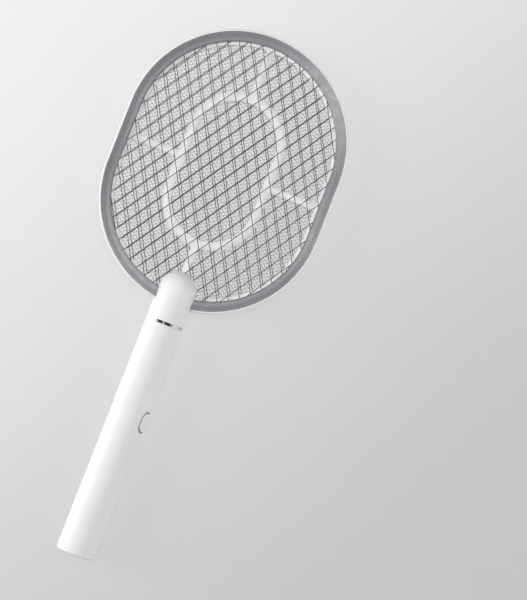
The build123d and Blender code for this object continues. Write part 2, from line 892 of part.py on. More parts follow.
# ---- handle: leads, each given as points beside the handle's axis
on_top = board_top + lead_radius + lead_gap  # a lead lying on the main board
lead_start = contact_start + 2.5
solder_y = board_end - 6.0
tab_half = contact_thickness / 2 + lead_radius + lead_gap

# Each lead's points are x, distance from the base and height from the handle's axis
def route(*points):
    lead(*[(x, y_base + place, height) for x, place, height in points])


contact_place = lead_start - y_base
solder_place = solder_y - y_base

with BuildPart() as net_lead:
    route(
        (-contact_x, contact_place, tab_half),
        (-contact_x, 210.75, tab_half),
        (net_lead_x, 197.75, on_top),
        (net_lead_x, solder_place, on_top),
    )

with BuildPart() as guard_lead_front:
    route(
        (contact_x, contact_place, guard_contact_middle - tab_half),
        (contact_x, 205.75, guard_contact_middle - tab_half),
        (front_guard_lead_x, 193.75, on_top),
        (front_guard_lead_x, solder_place, on_top),
    )

with BuildPart() as guard_lead_rear:
    route(
        (contact_x, contact_place, tab_half - guard_contact_middle),
        (contact_x, 215.75, tab_half - guard_contact_middle),
        (rear_guard_lead_x, 195.75, on_top),
        (rear_guard_lead_x, solder_place, on_top),
    )

cell_end_place = cell_end + tab_thickness + lead_gap - y_base
cell_start_place = cell_start - tab_thickness - lead_radius - lead_gap - y_base

with BuildPart() as battery_lead_positive:
    route(
        (battery_lead_x, cell_end_place, battery_lead_height),
        (battery_lead_x, 88.0, battery_lead_height),
        (8.0, 94.0, on_top),
        (8.0, 99.0, on_top),
    )

with BuildPart() as battery_lead_negative:
    route(
        (-battery_lead_x, cell_start_place, 0),
        (-side_lead_x, cell_start_place, 0),
        (-side_lead_x, 90.0, 0),
        (-9.5, 96.0, on_top),
        (-9.5, 101.0, on_top),
    )

with BuildPart() as charging_lead:
    on_charging_board = charging_board_top + lead_radius + lead_gap
    route(
        (7.0, 9.6, on_charging_board),
        (7.0, 14.6, on_charging_board),
        (side_lead_x, 22.0, 0),
        (side_lead_x, 90.0, 0),
        (10.5, 97.0, on_top),
        (10.5, 102.0, on_top),
    )

pieces = {
    "head_frame_front": head_frame_front,
    "head_frame_rear": head_frame_rear,
    "rim_screws": rim_screws,
    "bezel_ring_front": bezel_ring_front,
    "bezel_ring_rear": bezel_ring_rear,
    "guard_net_front": guard_net_front,
    "guard_net_rear": guard_net_rear,
    "high_voltage_net": high_voltage_net,
    "spacer_rib_front": spacer_rib_front,
    "spacer_rib_rear": spacer_rib_rear,
    "net_contact_tab": net_contact_tab,
    "guard_contact_front": guard_contact_front,
    "guard_contact_rear": guard_contact_rear,
    "handle_shell_front": handle_shell_front,
    "handle_shell_rear": handle_shell_rear,
    "handle_screws": handle_screws,
    "end_cap": end_cap,
    "indicator_lens": indicator_lens,
    "light_diffuser": light_diffuser,
    "indicator_board": indicator_board,
    "status_lamps": status_lamps,
    "trigger_collar": trigger_collar,
    "trigger_button": trigger_button,
    "switch_plunger": switch_plunger,
    "trigger_switch": trigger_switch,
    "trigger_spring": trigger_spring,
    "switch_stand": switch_stand,
    "power_knob": power_knob,
    "power_switch": power_switch,
    "main_board": main_board,
    "transformer_core": transformer_core,
    "transformer_winding": transformer_winding,
    "high_voltage_capacitor": high_voltage_capacitor,
    "rectifier_diodes": rectifier_diodes,
    "bleed_resistor": bleed_resistor,
    "drive_transistor": drive_transistor,
    "charge_controller": charge_controller,
    "battery_cell": battery_cell,
    "battery_cradle": battery_cradle,
    "battery_tabs": battery_tabs,
    "charging_socket": charging_socket,
    "socket_tongue": socket_tongue,
    "charging_board": charging_board,
    "net_lead": net_lead,
    "guard_lead_front": guard_lead_front,
    "guard_lead_rear": guard_lead_rear,
    "battery_lead_positive": battery_lead_positive,
    "battery_lead_negative": battery_lead_negative,
    "charging_lead": charging_lead,
}

os.makedirs("parts", exist_ok=True)
for label, piece in pieces.items():
    piece.part.label = label
    export_step(piece.part, f"parts/{label}.step")
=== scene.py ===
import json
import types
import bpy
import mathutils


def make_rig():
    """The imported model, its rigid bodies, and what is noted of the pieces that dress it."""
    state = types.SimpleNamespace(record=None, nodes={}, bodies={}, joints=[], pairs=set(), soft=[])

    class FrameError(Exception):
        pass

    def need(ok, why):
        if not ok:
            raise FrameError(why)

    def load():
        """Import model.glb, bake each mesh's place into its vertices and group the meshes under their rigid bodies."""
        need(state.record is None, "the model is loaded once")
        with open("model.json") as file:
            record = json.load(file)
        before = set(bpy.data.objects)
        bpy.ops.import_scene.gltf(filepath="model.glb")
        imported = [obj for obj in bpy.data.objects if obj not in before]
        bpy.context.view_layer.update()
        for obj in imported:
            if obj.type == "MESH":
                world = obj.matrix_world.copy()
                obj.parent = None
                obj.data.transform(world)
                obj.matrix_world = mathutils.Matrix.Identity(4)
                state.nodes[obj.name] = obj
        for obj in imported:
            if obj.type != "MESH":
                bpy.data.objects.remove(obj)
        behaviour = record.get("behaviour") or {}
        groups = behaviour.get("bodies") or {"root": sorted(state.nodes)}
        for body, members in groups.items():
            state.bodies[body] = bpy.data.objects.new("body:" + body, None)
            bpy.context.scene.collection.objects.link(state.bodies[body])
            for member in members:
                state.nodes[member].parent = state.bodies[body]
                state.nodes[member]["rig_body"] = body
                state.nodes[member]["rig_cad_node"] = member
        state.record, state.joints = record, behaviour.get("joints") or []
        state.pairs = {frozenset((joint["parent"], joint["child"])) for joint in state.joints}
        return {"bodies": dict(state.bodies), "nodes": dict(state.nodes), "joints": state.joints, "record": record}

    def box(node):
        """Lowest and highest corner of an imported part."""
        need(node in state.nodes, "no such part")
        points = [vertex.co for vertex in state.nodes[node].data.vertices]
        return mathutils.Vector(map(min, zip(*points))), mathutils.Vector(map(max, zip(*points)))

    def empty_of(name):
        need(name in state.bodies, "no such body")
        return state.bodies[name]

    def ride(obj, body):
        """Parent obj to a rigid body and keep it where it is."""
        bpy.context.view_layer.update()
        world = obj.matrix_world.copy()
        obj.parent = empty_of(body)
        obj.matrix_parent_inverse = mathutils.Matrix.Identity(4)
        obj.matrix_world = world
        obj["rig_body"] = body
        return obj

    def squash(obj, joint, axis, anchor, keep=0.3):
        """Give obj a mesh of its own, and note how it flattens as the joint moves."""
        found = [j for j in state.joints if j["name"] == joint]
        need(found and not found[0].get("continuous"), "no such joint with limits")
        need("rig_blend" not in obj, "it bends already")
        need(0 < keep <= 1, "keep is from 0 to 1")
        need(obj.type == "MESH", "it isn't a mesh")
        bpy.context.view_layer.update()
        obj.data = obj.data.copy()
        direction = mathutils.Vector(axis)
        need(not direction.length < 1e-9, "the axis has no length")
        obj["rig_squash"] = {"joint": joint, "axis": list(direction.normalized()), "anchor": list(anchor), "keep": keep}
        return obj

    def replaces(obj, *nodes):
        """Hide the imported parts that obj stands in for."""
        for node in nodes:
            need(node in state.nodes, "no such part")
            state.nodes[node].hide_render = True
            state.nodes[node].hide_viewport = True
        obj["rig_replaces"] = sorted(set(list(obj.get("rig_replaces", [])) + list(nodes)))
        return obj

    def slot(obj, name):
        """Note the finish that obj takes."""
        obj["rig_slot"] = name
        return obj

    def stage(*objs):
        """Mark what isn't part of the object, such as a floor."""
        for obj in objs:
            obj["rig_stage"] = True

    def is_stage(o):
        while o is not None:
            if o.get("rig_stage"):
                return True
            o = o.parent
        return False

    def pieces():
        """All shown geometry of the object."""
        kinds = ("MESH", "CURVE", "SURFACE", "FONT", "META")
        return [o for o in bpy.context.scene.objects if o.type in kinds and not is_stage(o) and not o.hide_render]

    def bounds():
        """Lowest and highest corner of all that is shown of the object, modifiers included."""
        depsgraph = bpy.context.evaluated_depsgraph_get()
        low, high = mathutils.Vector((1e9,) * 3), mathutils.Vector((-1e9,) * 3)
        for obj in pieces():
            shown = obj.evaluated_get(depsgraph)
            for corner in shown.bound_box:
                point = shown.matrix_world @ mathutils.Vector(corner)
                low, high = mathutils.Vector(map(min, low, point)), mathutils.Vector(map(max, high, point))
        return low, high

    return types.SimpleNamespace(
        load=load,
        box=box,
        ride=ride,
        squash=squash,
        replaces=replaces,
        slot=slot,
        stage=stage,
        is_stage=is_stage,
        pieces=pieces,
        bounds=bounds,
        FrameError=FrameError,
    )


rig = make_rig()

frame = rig.load()

import json
from math import cos, pi, radians, sin, sqrt

import bmesh
import bpy
from mathutils import Matrix, Vector

cad_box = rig.bounds()
mm = 0.001

# ------------------------------------------------------------------ places read from the frame
rim_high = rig.box("head_frame_front")[1]
bezel_low, bezel_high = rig.box("bezel_ring_front")
guard_low, guard_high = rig.box("guard_net_front")
shell_low, shell_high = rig.box("handle_shell_front")
cap_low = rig.box("end_cap")[0]
lens_low, lens_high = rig.box("indicator_lens")
button_low, button_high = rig.box("trigger_button")
knob_low, knob_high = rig.box("power_knob")

z_axis = shell_low.z  # the height of the handle's axis and of the head's middle plane
y_head = (bezel_low.y + bezel_high.y) / 2
rim_radius = rim_high.x
bezel_radius = bezel_high.x
straight_half = (bezel_high.y - bezel_low.y) / 2 - bezel_radius
rim_half = rim_high.z - z_axis
handle_radius = shell_high.x
y_base = cap_low.y
y_tip = shell_high.y
y_shell_start = shell_low.y
y_window = (lens_low.y + lens_high.y) / 2
y_trigger = (button_low.y + button_high.y) / 2
y_knob = (knob_low.y + knob_high.y) / 2

sharp_angle = radians(35)
merge_distance = 1e-6


# ------------------------------------------------------------------ mesh helpers
def linked(name, mesh, sharp=sharp_angle):
    """An object in the scene for a mesh, smooth except at its sharp edges."""
    mesh.shade_smooth()
    mesh.set_sharp_from_angle(angle=sharp)
    obj = bpy.data.objects.new(name, mesh)
    bpy.context.scene.collection.objects.link(obj)
    return obj


def to_object(name, bm):
    bmesh.ops.recalc_face_normals(bm, faces=bm.faces)
    mesh = bpy.data.meshes.new(name)
    bm.to_mesh(mesh)
    bm.free()
    return linked(name, mesh)


def freeze(obj):
    """Applies the object's modifiers to its mesh."""
    graph = bpy.context.evaluated_depsgraph_get()
    mesh = bpy.data.meshes.new_from_object(obj.evaluated_get(graph))
    obj.modifiers.clear()
    obj.data = mesh
    mesh.shade_smooth()
    mesh.set_sharp_from_angle(angle=sharp_angle)


def boolean(obj, other, operation="DIFFERENCE"):
    """Cuts obj with other or joins them, and removes other."""
    modifier = obj.modifiers.new("cut", "BOOLEAN")
    modifier.operation = operation
    modifier.solver = "EXACT"
    modifier.object = other
    freeze(obj)
    bpy.data.objects.remove(other)


def bevel(obj, width):
    modifier = obj.modifiers.new("edges", "BEVEL")
    modifier.width = width
    modifier.segments = 2
    modifier.limit_method = "ANGLE"
    modifier.angle_limit = radians(40)
    modifier.miter_outer = "MITER_ARC"
    freeze(obj)


def join(obj, other):
    """Adds the other's mesh to obj."""
    bm = bmesh.new()
    bm.from_mesh(obj.data)
    bm.from_mesh(other.data)
    bpy.data.objects.remove(other)
    bm.to_mesh(obj.data)
    bm.free()
    obj.data.set_sharp_from_angle(angle=sharp_angle)


def bridge(bm, first, second):
    """Faces between two closed loops of as many points."""
    for i in range(len(first)):
        nearby = (i + 1) % len(first)
        bm.faces.new((first[i], first[nearby], second[nearby], second[i]))


def bridge_round(bm, loops):
    """Faces between each loop and the next, and from the last back to the first."""
    for loop, following in zip(loops, loops[1:] + loops[:1]):
        bridge(bm, loop, following)


def in_mm(points):
    return [(a * mm, b * mm) for a, b in points]


def box_outline(half_x, half_y, x=0, y=0):
    corners = ((-1, -1), (1, -1), (1, 1), (-1, 1))
    return [(x + a * half_x, y + b * half_y) for a, b in corners]


def rounded(points, radii, steps=6):
    """A closed outline whose corners are rounded, each by its own radius in millimetres."""
    result = []
    count = len(points)
    for i, point in enumerate(points):
        corner = Vector(point)
        if radii[i] <= 0:
            result.append(corner)
            continue
        before = (Vector(points[i - 1]) - corner).normalized()
        after = (Vector(points[(i + 1) % count]) - corner).normalized()
        half = before.angle(after) / 2
        reach = radii[i] * mm / sin(half) * cos(half)
        start = corner + before * reach
        end = corner + after * reach
        for step in range(steps + 1):
            t = step / steps
            result.append(start * (1 - t) ** 2 + corner * (2 * t * (1 - t)) + end * t**2)
    return result


def prism(name, outline, low, high, placed):
    """A solid between two heights over a flat outline; placed turns (x, y, height) to a place."""
    bm = bmesh.new()
    bottom = [bm.verts.new(placed(x, y, low)) for x, y in outline]
    top = [bm.verts.new(placed(x, y, high)) for x, y in outline]
    bm.faces.new(bottom[::-1])
    bm.faces.new(top)
    bridge(bm, bottom, top)
    return to_object(name, bm)


def round_post(placed, radius, low, high, steps=32, y=0):
    turns = [2 * pi * k / steps for k in range(steps)]
    outline = [(radius * cos(t), y + radius * sin(t)) for t in turns]
    return prism("post", outline, low, high, placed)


# ------------------------------------------------------------------ places on the head
head_arc_steps = 96
head_straight_steps = 8


def on_head(x, y, height):
    return (x, y_head + y, z_axis + height)


def head_outline():
    """The head's middle line, and the way out from it, anticlockwise from +X."""
    path = []
    for end in (1, -1):
        start = 0 if end > 0 else pi
        for step in range(head_arc_steps + 1):
            angle = start + pi * step / head_arc_steps
            path.append((Vector((0, end * straight_half)), Vector((cos(angle), sin(angle)))))
        for step in range(1, head_straight_steps):
            y = end * straight_half * (1 - 2 * step / head_straight_steps)
            path.append((Vector((0, y)), Vector((-end, 0))))
    return path


def head_ring(name, profile, mirrored=False):
    """Sweeps a closed profile of (radius, height) round the head's outline."""
    bm = bmesh.new()
    sign = -1 if mirrored else 1
    loops = []
    for middle, normal in head_outline():
        places = [(middle + normal * radius, height) for radius, height in profile]
        loops.append([bm.verts.new(on_head(p.x, p.y, sign * height)) for p, height in places])
    bridge_round(bm, loops)
    return to_object(name, bm)


def band(inner, outer, low, high):
    """The square profile of a flat ring."""
    return [(inner, low), (outer, low), (outer, high), (inner, high)]


# ------------------------------------------------------------------ places on the handle
slot_steps = 24


def on_handle(x, y, height):
    return (x, y, z_axis + height)


def on_base(x, z, y):
    return (x, y, z_axis + z)


def lathe(name, profile, steps, start=0, end=360):
    """Turns a closed profile of (radius, y) about the handle's axis; a part turn gets end faces."""
    bm = bmesh.new()
    full = end - start >= 360
    loops = []
    for step in range(steps if full else steps + 1):
        angle = radians(start + (end - start) * step / steps)
        places = [(radius * sin(angle), y, z_axis + radius * cos(angle)) for radius, y in profile]
        loops.append([bm.verts.new(place) for place in places])
    if full:
        bridge_round(bm, loops)
    else:
        for loop, following in zip(loops, loops[1:]):
            bridge(bm, loop, following)
        bm.faces.new(loops[0][::-1])
        bm.faces.new(loops[-1])
    bmesh.ops.remove_doubles(bm, verts=bm.verts, dist=merge_distance / 10)
    return to_object(name, bm)


def skin_place(angle, y):
    """A frame square to the handle at that angle from its front line: along, across, out."""
    out = Vector((sin(radians(angle)), 0, cos(radians(angle))))
    along = Vector((0, 1, 0))
    across = out.cross(along)
    middle = Vector((0, y, z_axis))

    def placed(s, t, height):
        return middle + along * s + across * t + out * height

    return placed


def slot_outline(length, width, crosswise=False):
    """Points and normals of a round-ended slot, along the handle or across it."""
    radius = width / 2
    half = length / 2 - radius
    path = []
    for end in (1, -1):
        start = -pi / 2 if end > 0 else pi / 2
        for step in range(slot_steps + 1):
            angle = start + pi * step / slot_steps
            normal = Vector((cos(angle), sin(angle)))
            path.append((Vector((end * half, 0)) + normal * radius, normal))
        for step in range(1, slot_steps):
            s = end * half * (1 - 2 * step / slot_steps)
            path.append((Vector((s, end * radius)), Vector((0, end))))
    if crosswise:
        path = [(Vector((-p.y, p.x)), Vector((-n.y, n.x))) for p, n in path]
    return path


def slot_prism(name, placed, length, width, low, high, crosswise=False):
    """A solid between two heights over a round-ended slot."""
    outline = [tuple(point) for point, normal in slot_outline(length, width, crosswise)]
    return prism(name, outline, low, high, placed)


def skin(rise):
    """Heights from the handle's axis that follow its skin, raised by rise, at a place across."""
    return lambda t: sqrt((handle_radius + rise) ** 2 - t**2)


def level(height):
    """Heights that are the same all over."""
    return lambda t: height


def skin_loop(bm, placed, path, outward, heights):
    """Points round an outline, moved outward, at those heights."""
    places = [point + normal * outward for point, normal in path]
    return [bm.verts.new(placed(p.x, p.y, heights(p.y))) for p in places]


def skin_ring(name, placed, path, profile):
    """Sweeps a closed profile of (outward, rise) round an outline on the handle's skin."""
    bm = bmesh.new()
    loops = [skin_loop(bm, placed, path, outward, skin(rise)) for outward, rise in profile]
    bridge_round(bm, loops)
    return to_object(name, bm)


def pad(name, placed, path, rings):
    """A solid whose rings, each (inward, heights), run from its foot's middle to its top's."""
    bm = bmesh.new()
    loops = [skin_loop(bm, placed, path, -inward, heights) for inward, heights in rings]
    for loop, following in zip(loops, loops[1:]):
        bridge(bm, loop, following)
    bmesh.ops.remove_doubles(bm, verts=bm.verts, dist=merge_distance)
    return to_object(name, bm)


# ------------------------------------------------------------------ materials
class Finish:
    """A material whose nodes start from the place of each point on the object, in millimetres."""

    def __init__(self, name):
        self.material = bpy.data.materials.new(name)
        self.material.use_nodes = True
        self.tree = self.material.node_tree
        self.shader = self.tree.nodes["Principled BSDF"]
        coordinates = self.add("ShaderNodeTexCoord")
        scaled = self.add("ShaderNodeVectorMath", operation="SCALE")
        scaled.inputs["Scale"].default_value = 1 / mm
        self.link(coordinates.outputs["Object"], scaled.inputs[0])
        self.place = scaled.outputs[0]

    def add(self, kind, **settings):
        node = self.tree.nodes.new(kind)
        for key, value in settings.items():
            setattr(node, key, value)
        return node

    def link(self, start, end):
        self.tree.links.new(start, end)

    def set(self, **values):
        """Sets values on the shader's own sockets."""
        for key, value in values.items():
            self.shader.inputs[key.replace("_", " ")].default_value = value

    def noise(self, scale, detail=4, stretch=(1, 1, 1)):
        """Noise whose lumps are about 1 / scale millimetres across."""
        mapped = self.add("ShaderNodeMapping")
        mapped.inputs["Scale"].default_value = stretch
        self.link(self.place, mapped.inputs["Vector"])
        texture = self.add("ShaderNodeTexNoise")
        texture.inputs["Scale"].default_value = scale
        texture.inputs["Detail"].default_value = detail
        self.link(mapped.outputs[0], texture.inputs["Vector"])
        return texture.outputs["Fac"]

    def share(self, value, low, high, result=(0, 1), curve="LINEAR"):
        """Turns a value from low to high into one from the first to the last result."""
        node = self.add("ShaderNodeMapRange", interpolation_type=curve)
        node.inputs["From Min"].default_value = low
        node.inputs["From Max"].default_value = high
        node.inputs["To Min"].default_value = result[0]
        node.inputs["To Max"].default_value = result[1]
        self.link(value, node.inputs["Value"])
        return node.outputs[0]

    def ramp(self, factor, *stops):
        """Turns a factor into a colour or a number through stops of (place, value)."""
        node = self.add("ShaderNodeValToRGB")
        elements = node.color_ramp.elements
        while len(elements) < len(stops):
            elements.new(0.5)
        for element, (position, value) in zip(elements, stops):
            colour = value if hasattr(value, "__len__") else (value,) * 3
            element.position = position
            element.color = (*colour, 1)
        self.link(factor, node.inputs["Fac"])
        return node.outputs["Color"]

    def mix(self, factor, first, second):
        node = self.add("ShaderNodeMix", data_type="RGBA")
        sockets = [s for s in node.inputs if s.enabled and s.name in ("Factor", "A", "B")]
        for socket, value in zip(sockets, (factor, first, second)):
            if isinstance(value, bpy.types.NodeSocket):
                self.link(value, socket)
            elif hasattr(value, "__len__"):
                socket.default_value = (*value, 1)
            else:
                socket.default_value = value
        return next(s for s in node.outputs if s.enabled)

    def colour(self, socket):
        self.link(socket, self.shader.inputs["Base Color"])

    def roughness(self, factor, low, high):
        self.link(self.ramp(factor, (0.3, low), (0.7, high)), self.shader.inputs["Roughness"])

    def bump(self, factor, depth):
        """Raises the surface by the factor times depth, in millimetres."""
        node = self.add("ShaderNodeBump")
        node.inputs["Strength"].default_value = 1
        node.inputs["Distance"].default_value = depth * mm
        self.link(factor, node.inputs["Height"])
        last = self.shader.inputs["Normal"]
        if last.is_linked:
            self.link(last.links[0].from_socket, node.inputs["Normal"])
        self.link(node.outputs["Normal"], last)


def shade(colour, factor):
    return tuple(min(1.0, c * factor) for c in colour)


def moulded(name, colour, rough=(0.32, 0.42), grain=0.02, mottle=0.03, coat=0.0):
    """Moulded plastic: faint cloudy colour, flow marks and a fine spark-eroded grain."""
    finish = Finish(name)
    clouds = finish.noise(0.03, detail=3, stretch=(1, 0.4, 1))
    specks = finish.noise(2.2, detail=2)
    tint = finish.ramp(clouds, (0.3, shade(colour, 1 - mottle)), (0.7, shade(colour, 1 + mottle)))
    speck_tint = finish.ramp(specks, (0.35, shade(colour, 1 - mottle)), (0.6, colour))
    finish.colour(finish.mix(0.35, tint, speck_tint))
    finish.roughness(finish.noise(0.12, detail=5), *rough)
    finish.bump(finish.noise(3.0, detail=3), grain)
    finish.bump(finish.noise(0.08, detail=2), grain * 2)
    finish.set(Coat_Weight=coat, Coat_Roughness=0.12)
    return finish.material


def metal(name, colour, rough=(0.25, 0.4), scratch=0.01, stain=0.25, metallic=1.0, drawn=False):
    """Metal with dull stains and fine scratches, which run along Y on a drawn or rolled part."""
    finish = Finish(name)
    stains = finish.noise(0.15, detail=6)
    scratches = finish.noise(2.5, detail=4, stretch=(1, 0.1, 1) if drawn else (1, 1, 1))
    bright = finish.ramp(stains, (0.35, shade(colour, 1 - stain)), (0.65, colour))
    scored = finish.ramp(scratches, (0.4, shade(colour, 0.7)), (0.6, colour))
    finish.colour(finish.mix(0.4, bright, scored))
    finish.roughness(scratches, *rough)
    finish.bump(scratches, scratch)
    finish.set(Metallic=metallic)
    return finish.material


def lens_finish():
    """Smoked clear plastic with faint streaks; along X its own smoky tone on the left gives way to a painted black
    reflection and then a painted pale reflection and highlight on the right.
    """
    finish = Finish("dark_lens")
    across = finish.add("ShaderNodeSeparateXYZ")
    finish.link(finish.place, across.inputs[0])
    # Painted reflection: the black blotch and the pale right end of this ramp stand in for reflections of the
    # surroundings; only the smoky left part is the lens's own tone.
    along = finish.ramp(
        finish.share(across.outputs["X"], -9, 17),
        (0.0, (0.045, 0.045, 0.05)),
        (0.38, (0.07, 0.07, 0.075)),
        (0.46, (0.012, 0.012, 0.014)),
        (0.54, (0.05, 0.05, 0.055)),
        (0.6, (0.5, 0.51, 0.52)),
        (0.78, (0.66, 0.67, 0.68)),
    )
    streaks = finish.ramp(finish.noise(0.9, detail=2, stretch=(1, 0.3, 1)), (0.4, 0.55), (0.6, 1.0))
    finish.colour(finish.mix(streaks, (0.02, 0.02, 0.02), along))
    finish.roughness(finish.noise(0.6), 0.06, 0.14)
    finish.bump(finish.noise(0.5, detail=2), 0.01)
    finish.set(Coat_Weight=1.0, Coat_Roughness=0.04)
    return finish.material


def board_finish():
    """Green solder mask over copper tracks, with dots of solder."""
    finish = Finish("circuit_board")
    tracks = finish.add("ShaderNodeTexBrick", offset=0.5)
    tracks.inputs["Scale"].default_value = 0.35
    tracks.inputs["Mortar Size"].default_value = 0.08
    tracks.inputs["Color1"].default_value = (0.012, 0.11, 0.045, 1)
    tracks.inputs["Color2"].default_value = (0.014, 0.13, 0.05, 1)
    tracks.inputs["Mortar"].default_value = (0.03, 0.22, 0.09, 1)
    finish.link(finish.place, tracks.inputs["Vector"])
    cells = finish.add("ShaderNodeTexVoronoi")
    cells.inputs["Scale"].default_value = 0.35
    finish.link(finish.place, cells.inputs["Vector"])
    dots = finish.ramp(cells.outputs["Distance"], (0.16, 1.0), (0.2, 0.0))
    finish.colour(finish.mix(dots, tracks.outputs["Color"], (0.6, 0.6, 0.58)))
    finish.link(dots, finish.shader.inputs["Metallic"])
    finish.roughness(finish.noise(0.5), 0.25, 0.4)
    finish.bump(tracks.outputs["Fac"], -0.03)
    return finish.material


def winding_finish():
    """Enamelled copper wire wound in close turns, with painted shade in the grooves between the turns."""
    finish = Finish("copper_winding")
    turns = finish.add("ShaderNodeTexWave", bands_direction="Y")
    turns.inputs["Scale"].default_value = 1.2
    turns.inputs["Distortion"].default_value = 0.3
    finish.link(finish.place, turns.inputs["Vector"])
    # Painted shade: the first colour fills the low part of each wave, the groove between two turns.
    dark, bright = (0.12, 0.03, 0.008), (0.5, 0.17, 0.05)
    finish.colour(finish.ramp(turns.outputs["Fac"], (0.0, dark), (0.7, bright)))
    finish.bump(turns.outputs["Fac"], 0.12)
    finish.roughness(finish.noise(0.8), 0.2, 0.35)
    finish.set(Metallic=0.8)
    return finish.material


def wrap_finish():
    """Shrink film round the battery, with faint wrinkles."""
    finish = Finish("battery_wrap")
    wrinkles = finish.noise(0.5, detail=4, stretch=(1, 0.2, 1))
    finish.colour(finish.ramp(wrinkles, (0.3, (0.02, 0.12, 0.3)), (0.7, (0.03, 0.17, 0.4))))
    finish.bump(wrinkles, 0.08)
    finish.roughness(finish.noise(1.0), 0.2, 0.32)
    finish.set(Coat_Weight=0.5, Coat_Roughness=0.1)
    return finish.material


def milky(name, colour):
    """Cloudy plastic that light soaks into."""
    finish = Finish(name)
    finish.colour(finish.ramp(finish.noise(0.8), (0.3, shade(colour, 0.8)), (0.7, colour)))
    finish.roughness(finish.noise(1.5), 0.2, 0.5)
    finish.bump(finish.noise(2.5), 0.01)
    finish.set(Subsurface_Weight=0.3, Subsurface_Scale=mm)
    return finish.material


def wire_steel(name, colour):
    return metal(name, colour, rough=(0.22, 0.36), stain=0.2, metallic=0.9)


def polished(name, colour):
    return metal(name, colour, rough=(0.08, 0.16), stain=0.08, scratch=0.002)


finishes = {
    "white_shell": moulded("white_shell", (0.85, 0.85, 0.853), rough=(0.45, 0.55)),
    "white_button": moulded("white_button", (0.84, 0.84, 0.84), rough=(0.28, 0.36), coat=0.2),
    "white_rib": moulded("white_rib", (0.92, 0.93, 0.93), rough=(0.26, 0.34)),
    "grey_bezel": moulded("grey_bezel", (0.2, 0.204, 0.221), rough=(0.2, 0.27), mottle=0.05),
    "guard_wire": metal("guard_wire", (0.13, 0.133, 0.137), rough=(0.35, 0.5)),
    "electrode_wire": wire_steel("electrode_wire", (0.47, 0.48, 0.48)),
    "screw_steel": metal("screw_steel", (0.55, 0.56, 0.57), rough=(0.22, 0.38)),
    "spring_steel": metal("spring_steel", (0.6, 0.61, 0.63), drawn=True),
    "contact_brass": metal("contact_brass", (0.72, 0.5, 0.2), drawn=True),
    "dark_lens": lens_finish(),
    "diffuser": milky("diffuser", (0.8, 0.82, 0.84)),
    "lamp": milky("lamp", (0.85, 0.75, 0.45)),
    "circuit_board": board_finish(),
    "chrome_trim": polished("chrome_trim", (0.38, 0.385, 0.39)),
    "black_plastic": moulded("black_plastic", (0.02, 0.02, 0.022), rough=(0.35, 0.5), mottle=0.2),
    "grey_knob": moulded("grey_knob", (0.3, 0.31, 0.32), rough=(0.4, 0.55), mottle=0.06),
    "ferrite": moulded("ferrite", (0.05, 0.048, 0.046), rough=(0.55, 0.75), grain=0.05, mottle=0.25),
    "copper_winding": winding_finish(),
    "capacitor_case": moulded("capacitor_case", (0.42, 0.06, 0.03), rough=(0.15, 0.28), mottle=0.1),
    "resistor_body": moulded("resistor_body", (0.55, 0.42, 0.25), rough=(0.35, 0.5), mottle=0.15),
    "battery_wrap": wrap_finish(),
    "socket_steel": metal("socket_steel", (0.66, 0.67, 0.68), drawn=True),
    "lead_red": moulded("lead_red", (0.45, 0.02, 0.02), rough=(0.3, 0.42), mottle=0.12),
    "lead_black": moulded("lead_black", (0.015, 0.015, 0.016), rough=(0.3, 0.45), mottle=0.2),
}

slot_of = {}
for node, obj in frame["nodes"].items():
    slot_of[node] = obj.data.materials[0].name
    obj.data.materials[0] = finishes[slot_of[node]]


def stand_for(obj, node):
    """Gives a finished mesh the node's name, finish and body, and hides the node."""
    obj.name = "fine_" + node
    obj.data.materials.clear()
    obj.data.materials.append(finishes[slot_of[node]])
    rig.replaces(obj, node)
    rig.slot(obj, slot_of[node])
    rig.ride(obj, frame["nodes"][node]["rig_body"])
    return obj


def copy_of(node):
    """A new mesh in the shape of a node, with its doubled corners merged."""
    bm = bmesh.new()
    bm.from_mesh(frame["nodes"][node].data)
    bmesh.ops.remove_doubles(bm, verts=bm.verts, dist=merge_distance)
    bmesh.ops.dissolve_limit(bm, angle_limit=radians(1), verts=bm.verts, edges=bm.edges)
    return to_object("copy_" + node, bm)


# ------------------------------------------------------------------ head: rim and bezels
well_radius = rim_radius - 2 * mm
mouth_radius = bezel_radius - 9.6 * mm
ledge_radius = 97 * mm
root_radius = 100.5 * mm
ledge_low = 3 * mm
ledge_high = 4.5 * mm
y_head_foot = -straight_half - rim_radius  # the rim's lowest point, from the head's middle
tongue_half_width = 10.5 * mm
tongue_depth = 5 * mm
y_tongue_low = y_head_foot - 34 * mm
y_tongue_high = y_head_foot + 2 * mm
bezel_foot = 5.5 * mm
bezel_shoulder = 7.5 * mm
bezel_top = 7.7 * mm
bezel_edge = 0.3 * mm


def rim(node, mirrored):
    corners = [
        (root_radius, 0),
        (rim_radius, 0),
        (rim_radius, rim_half),
        (well_radius, rim_half),
        (well_radius, ledge_high),
        (ledge_radius, ledge_high),
        (ledge_radius, ledge_low),
        (root_radius, ledge_low),
    ]
    radii = (0, 0.3, 1.6, 0.3, 0.2, 0.3, 0.2, 0)
    ring = head_ring("rim", rounded(corners, radii, steps=8), mirrored)
    y_middle = (y_tongue_low + y_tongue_high) / 2
    outline = box_outline(tongue_half_width, y_tongue_high - y_middle, y=y_middle)
    heights = (-tongue_depth, 0) if mirrored else (0, tongue_depth)
    tongue = prism("tongue", outline, *heights, on_head)
    bevel(tongue, 0.4 * mm)
    boolean(ring, tongue, "UNION")
    stand_for(ring, node)


